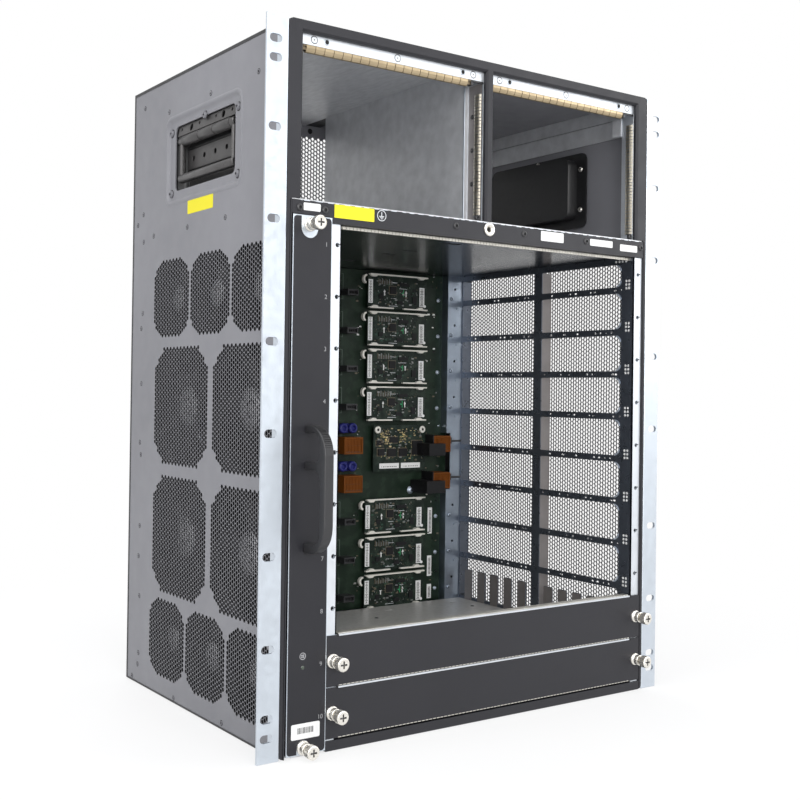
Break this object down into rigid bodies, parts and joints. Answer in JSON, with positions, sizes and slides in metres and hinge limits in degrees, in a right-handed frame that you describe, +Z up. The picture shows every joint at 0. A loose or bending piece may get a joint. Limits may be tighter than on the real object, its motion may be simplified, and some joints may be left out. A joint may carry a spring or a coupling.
{
  "type": "modular chassis switch",
  "caption": "Rack chassis for plug-in network cards with open power-supply bays, a slide-out fan tray, blank panels, ears and folding lifting handles.",
  "frame": {"origin": "middle of the underside of the base panel", "axes": "+X to the right seen from the front, +Y to the back, +Z up"},
  "size_m": [0.4826, 0.348, 0.6185],
  "materials": {
    "side_paint": "satin grey paint",
    "black_paint": "satin black powder coat",
    "zinc": "bright zinc plate",
    "galvanised": "galvanised sheet",
    "gasket_gold": "tan spring metal",
    "board_green": "dark green circuit board",
    "orange": "orange moulding",
    "blue": "blue moulding",
    "black_plastic": "black moulding",
    "overlay": "black label sheet",
    "nickel": "nickel-plated screws",
    "dark_screw": "dark screw heads"
  },
  "bodies": {
    "chassis": {"left_side_panel": "side_paint", "right_side_panel": "side_paint", "top_panel": "galvanised", "rear_panel": "galvanised", "base_panel": "galvanised", "psu_shelf": "galvanised", "cage_floor": "galvanised", "cage_left_wall": "galvanised", "cage_right_wall": "galvanised", "divider_wall": "galvanised", "cage_ceiling": "galvanised", "front_frame": "black_paint", "mid_beam": "black_paint", "psu_flange_left": "zinc", "psu_flange_right": "zinc", "rack_ear_left": "zinc", "rack_ear_right": "zinc", "handle_tray_left": "black_plastic", "handle_tray_right": "black_plastic", "black_connectors": "black_plastic", "psu_connectors": "black_plastic", "gasket_strips": "gasket_gold", "backplane": "board_green", "mezz_boards": "board_green", "centre_board": "board_green", "orange_connectors": "orange", "blue_connectors": "blue", "ground_socket": "nickel", "backplane_screws": "nickel", "chassis_screws": "dark_screw"},
    "fan_tray": {"fan_tray_frame": "galvanised", "fan_tray_plate": "zinc", "fan_tray_overlay": "overlay", "fan_tray_handle": "black_paint", "fan_housings": "black_plastic", "tray_collars": "nickel"},
    "tray_screw_top": {"tray_screw_top": "nickel"},
    "tray_screw_bottom": {"tray_screw_bottom": "nickel"},
    "blank_upper": {"blank_panel_upper": "black_paint", "blank_collars_upper": "nickel"},
    "blank_lower": {"blank_panel_lower": "black_paint", "blank_collars_lower": "nickel"},
    "upper_screw_left": {"blank_upper_screw_left": "nickel"},
    "upper_screw_right": {"blank_upper_screw_right": "nickel"},
    "lower_screw_left": {"blank_lower_screw_left": "nickel"},
    "lower_screw_right": {"blank_lower_screw_right": "nickel"},
    "lift_handle_left": {"lift_handle_left": "zinc"},
    "lift_handle_right": {"lift_handle_right": "zinc"},
    "fan_01": {"fan_rotor_01": "black_plastic"},
    "fan_02": {"fan_rotor_02": "black_plastic"},
    "fan_03": {"fan_rotor_03": "black_plastic"},
    "fan_04": {"fan_rotor_04": "black_plastic"},
    "fan_05": {"fan_rotor_05": "black_plastic"},
    "fan_06": {"fan_rotor_06": "black_plastic"},
    "fan_07": {"fan_rotor_07": "black_plastic"},
    "fan_08": {"fan_rotor_08": "black_plastic"},
    "fan_09": {"fan_rotor_09": "black_plastic"},
    "fan_10": {"fan_rotor_10": "black_plastic"}
  },
  "joints": [
    {"name": "fan_tray_slide", "type": "slide", "parent": "chassis", "child": "fan_tray", "axis": [0, -1, 0], "range_m": [0, 0.27]},
    {"name": "fan_01_spin", "type": "hinge", "parent": "fan_tray", "child": "fan_01", "pos_m": [-0.19445, -0.1035, 0.39695], "axis": [1, 0, 0], "continuous": true},
    {"name": "fan_02_spin", "type": "hinge", "parent": "fan_tray", "child": "fan_02", "pos_m": [-0.19445, -0.0206, 0.39695], "axis": [1, 0, 0], "continuous": true},
    {"name": "fan_03_spin", "type": "hinge", "parent": "fan_tray", "child": "fan_03", "pos_m": [-0.19445, 0.0623, 0.39695], "axis": [1, 0, 0], "continuous": true},
    {"name": "fan_04_spin", "type": "hinge", "parent": "fan_tray", "child": "fan_04", "pos_m": [-0.19445, -0.0875, 0.28984], "axis": [1, 0, 0], "continuous": true},
    {"name": "fan_05_spin", "type": "hinge", "parent": "fan_tray", "child": "fan_05", "pos_m": [-0.19445, 0.0389, 0.28984], "axis": [1, 0, 0], "continuous": true},
    {"name": "fan_06_spin", "type": "hinge", "parent": "fan_tray", "child": "fan_06", "pos_m": [-0.19445, -0.0875, 0.16186], "axis": [1, 0, 0], "continuous": true},
    {"name": "fan_07_spin", "type": "hinge", "parent": "fan_tray", "child": "fan_07", "pos_m": [-0.19445, 0.0389, 0.16186], "axis": [1, 0, 0], "continuous": true},
    {"name": "fan_08_spin", "type": "hinge", "parent": "fan_tray", "child": "fan_08", "pos_m": [-0.19445, -0.1035, 0.05801], "axis": [1, 0, 0], "continuous": true},
    {"name": "fan_09_spin", "type": "hinge", "parent": "fan_tray", "child": "fan_09", "pos_m": [-0.19445, -0.0206, 0.05801], "axis": [1, 0, 0], "continuous": true},
    {"name": "fan_10_spin", "type": "hinge", "parent": "fan_tray", "child": "fan_10", "pos_m": [-0.19445, 0.0623, 0.05801], "axis": [1, 0, 0], "continuous": true},
    {"name": "tray_screw_top_turn", "type": "hinge", "parent": "fan_tray", "child": "tray_screw_top", "pos_m": [-0.197, -0.168, 0.4471], "axis": [0, -1, 0], "continuous": true},
    {"name": "tray_screw_bottom_turn", "type": "hinge", "parent": "fan_tray", "child": "tray_screw_bottom", "pos_m": [-0.197, -0.168, 0.0075], "axis": [0, -1, 0], "continuous": true},
    {"name": "blank_upper_lift_off", "type": "slide", "parent": "chassis", "child": "blank_upper", "axis": [0, -1, 0], "range_m": [0, 0.06]},
    {"name": "blank_lower_lift_off", "type": "slide", "parent": "chassis", "child": "blank_lower", "axis": [0, -1, 0], "range_m": [0, 0.06]},
    {"name": "upper_screw_left_turn", "type": "hinge", "parent": "blank_upper", "child": "upper_screw_left", "pos_m": [-0.168, -0.168, 0.07658], "axis": [0, -1, 0], "continuous": true},
    {"name": "upper_screw_right_turn", "type": "hinge", "parent": "blank_upper", "child": "upper_screw_right", "pos_m": [0.2097, -0.168, 0.07658], "axis": [0, -1, 0], "continuous": true},
    {"name": "lower_screw_left_turn", "type": "hinge", "parent": "blank_lower", "child": "lower_screw_left", "pos_m": [-0.168, -0.168, 0.03213], "axis": [0, -1, 0], "continuous": true},
    {"name": "lower_screw_right_turn", "type": "hinge", "parent": "blank_lower", "child": "lower_screw_right", "pos_m": [0.2097, -0.168, 0.03213], "axis": [0, -1, 0], "continuous": true},
    {"name": "lift_handle_left_swing", "type": "hinge", "parent": "chassis", "child": "lift_handle_left", "pos_m": [-0.2134, 0, 0.552], "axis": [0, 1, 0], "range_deg": [0, 90]},
    {"name": "lift_handle_right_swing", "type": "hinge", "parent": "chassis", "child": "lift_handle_right", "pos_m": [0.2134, 0, 0.552], "axis": [0, -1, 0], "range_deg": [0, 90]}
  ]
}
